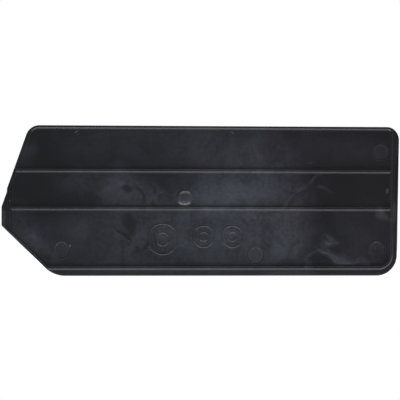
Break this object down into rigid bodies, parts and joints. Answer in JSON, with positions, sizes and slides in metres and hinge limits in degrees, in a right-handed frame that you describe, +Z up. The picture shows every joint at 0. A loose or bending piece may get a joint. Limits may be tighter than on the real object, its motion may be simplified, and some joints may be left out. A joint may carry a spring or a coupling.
{
  "type": "parts bin divider",
  "caption": "Lengthwise divider panel for a hopper-front hanging parts bin: a thin ribbed plastic wall whose nose, bottom and rear edges slide into the bin's grooves.",
  "frame": {"origin": "middle of the panel's length and thickness, at the level of its bottom edge", "axes": "+Z up as the divider stands in its bin; -X towards the sloping nose, +X towards the rear edge; -Y out of the ribbed face, +Y out of the flat face"},
  "size_m": [0.2626, 0.0032, 0.0984],
  "materials": {
    "black_polypropylene": "satin injection-moulded black polypropylene"
  },
  "bodies": {
    "root": {"divider_panel": "black_polypropylene"}
  },
  "joints": []
}
